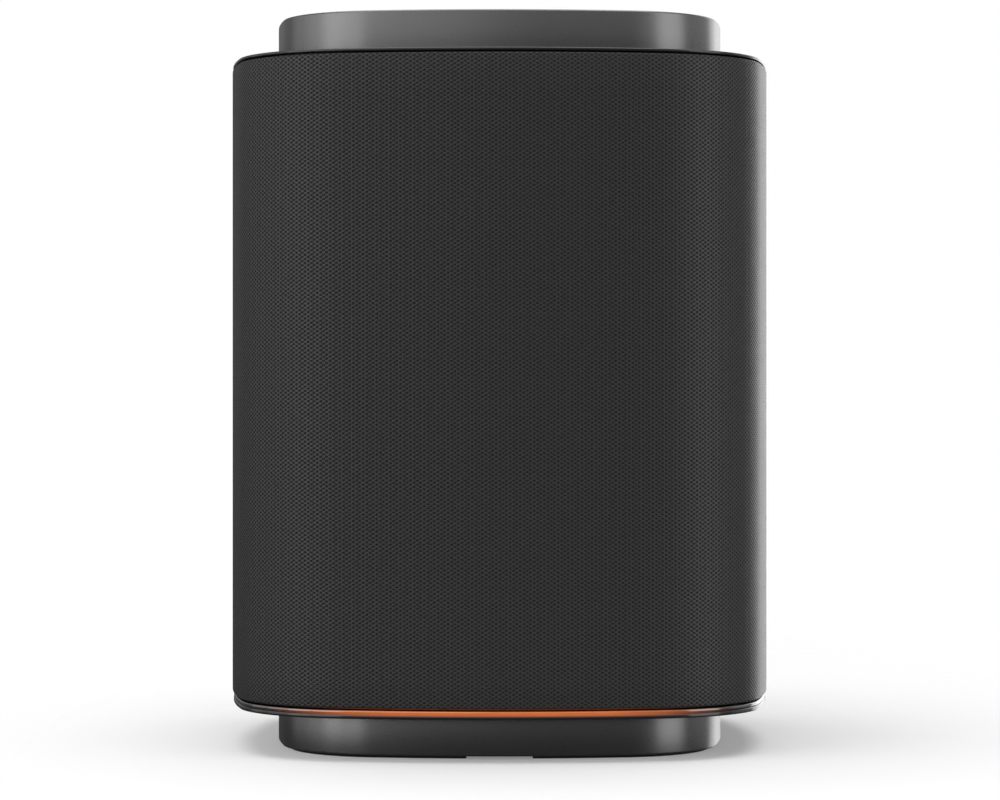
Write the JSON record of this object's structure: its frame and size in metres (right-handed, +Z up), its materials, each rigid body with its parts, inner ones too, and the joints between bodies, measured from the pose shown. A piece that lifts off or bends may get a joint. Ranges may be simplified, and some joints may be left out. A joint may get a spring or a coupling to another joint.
{
  "type": "smart speaker",
  "caption": "Tall rounded-square cloth-covered speaker between smaller metal plinths, with a lit ring round its lower edge and press buttons on top.",
  "frame": {"origin": "on the floor plane under the middle of the body", "axes": "+Z up, the front of the speaker faces -Y, +X is to the right seen from the front"},
  "size_m": [0.14, 0.14, 0.186],
  "materials": {
    "band_metal": "satin anodised, fine brushed",
    "panel_black": "soft-touch matte",
    "button_black": "fine satin",
    "bezel_dark": "gloss",
    "cloth": "charcoal knit, holes at 1.1 mm pitch",
    "frame_plastic": "moulded, fine texture",
    "light_orange": "translucent, lit at the front",
    "rubber_black": "matte rubber",
    "steel": "zinc-plated",
    "ferrite": "sintered, dull",
    "copper": "lacquered winding",
    "cone_black": "pressed fibre",
    "dome_silk": "coated silk",
    "spider_cloth": "resin-stiffened cloth",
    "board_green": "solder mask",
    "board_brown": "paper laminate",
    "can_metal": "tinned",
    "sink_metal": "extruded",
    "coil_yellow": "taped winding",
    "cap_blue": "sleeved can",
    "wire": "insulated leads",
    "inlet_black": "glass-filled nylon",
    "pin_metal": "nickel-plated brass",
    "switch_grey": "moulded",
    "led_white": "phosphor window"
  },
  "bodies": {
    "housing": {"top_band": "band_metal", "base_band": "band_metal", "top_panel": "panel_black", "button_pad": "rubber_black", "control_board": "board_green", "microphones": "can_metal", "top_bezel": "bezel_dark", "upper_chassis": "frame_plastic", "top_screws": "steel", "cloth_sleeve": "cloth", "grille_frame": "frame_plastic", "front_baffle": "frame_plastic", "enclosure_tub": "frame_plastic", "enclosure_gasket": "rubber_black", "case_screws": "steel", "woofer_basket": "frame_plastic", "woofer_magnet": "ferrite", "woofer_top_plate": "steel", "woofer_yoke": "steel", "woofer_surround": "rubber_black", "woofer_spider": "spider_cloth", "driver_screws": "steel", "tweeter_faceplate": "frame_plastic", "tweeter_surround": "rubber_black", "tweeter_magnet": "steel", "left_radiator_frame": "frame_plastic", "left_radiator_surround": "rubber_black", "right_radiator_frame": "frame_plastic", "right_radiator_surround": "rubber_black", "main_board": "board_green", "heat_sink": "sink_metal", "wireless_module": "can_metal", "antenna": "copper", "power_supply_board": "board_brown", "transformer": "coil_yellow", "capacitors": "cap_blue", "wiring": "wire", "rear_panel": "panel_black", "power_inlet": "inlet_black", "inlet_pins": "pin_metal", "bottom_bezel": "bezel_dark", "light_ring": "light_orange", "light_board": "board_green", "leds": "led_white", "lower_chassis": "frame_plastic", "base_plate": "frame_plastic", "rubber_feet": "rubber_black", "base_screws": "steel"},
    "play_button": {"play_button": "button_black"},
    "volume_down_button": {"volume_down_button": "button_black"},
    "volume_up_button": {"volume_up_button": "button_black"},
    "action_button": {"action_button": "button_black"},
    "woofer_cone": {"woofer_cone": "cone_black", "woofer_dust_cap": "cone_black", "woofer_voice_coil": "copper"},
    "tweeter_dome": {"tweeter_dome": "dome_silk"},
    "left_radiator": {"left_radiator_diaphragm": "cone_black"},
    "right_radiator": {"right_radiator_diaphragm": "cone_black"},
    "mute_switch": {"mute_switch": "switch_grey"},
    "reset_button": {"reset_button": "button_black"}
  },
  "joints": [
    {"name": "play_press", "type": "slide", "parent": "housing", "child": "play_button", "axis": [0, 0, -1], "range_m": [0, 0.0005], "stiffness_N_per_m": 400, "deforming": ["button_pad"]},
    {"name": "volume_down_press", "type": "slide", "parent": "housing", "child": "volume_down_button", "axis": [0, 0, -1], "range_m": [0, 0.0005], "stiffness_N_per_m": 400, "deforming": ["button_pad"]},
    {"name": "volume_up_press", "type": "slide", "parent": "housing", "child": "volume_up_button", "axis": [0, 0, -1], "range_m": [0, 0.0005], "stiffness_N_per_m": 400, "deforming": ["button_pad"]},
    {"name": "action_press", "type": "slide", "parent": "housing", "child": "action_button", "axis": [0, 0, -1], "range_m": [0, 0.0005], "stiffness_N_per_m": 400, "deforming": ["button_pad"]},
    {"name": "woofer_stroke", "type": "slide", "parent": "housing", "child": "woofer_cone", "axis": [0, -1, 0], "range_m": [-0.0025, 0.0025], "stiffness_N_per_m": 700, "deforming": ["woofer_surround", "woofer_spider"]},
    {"name": "tweeter_stroke", "type": "slide", "parent": "housing", "child": "tweeter_dome", "axis": [0, -1, 0], "range_m": [-0.00025, 0.00025], "stiffness_N_per_m": 60, "deforming": ["tweeter_surround"]},
    {"name": "left_radiator_stroke", "type": "slide", "parent": "housing", "child": "left_radiator", "axis": [-1, 0, 0], "range_m": [-0.0035, 0.0035], "stiffness_N_per_m": 500, "deforming": ["left_radiator_surround"]},
    {"name": "right_radiator_stroke", "type": "slide", "parent": "housing", "child": "right_radiator", "axis": [1, 0, 0], "range_m": [-0.0035, 0.0035], "stiffness_N_per_m": 500, "deforming": ["right_radiator_surround"]},
    {"name": "mute_slide", "type": "slide", "parent": "housing", "child": "mute_switch", "axis": [1, 0, 0], "range_m": [0, 0.003]},
    {"name": "reset_press", "type": "slide", "parent": "housing", "child": "reset_button", "axis": [0, -1, 0], "range_m": [0, 0.0005], "stiffness_N_per_m": 300}
  ]
}
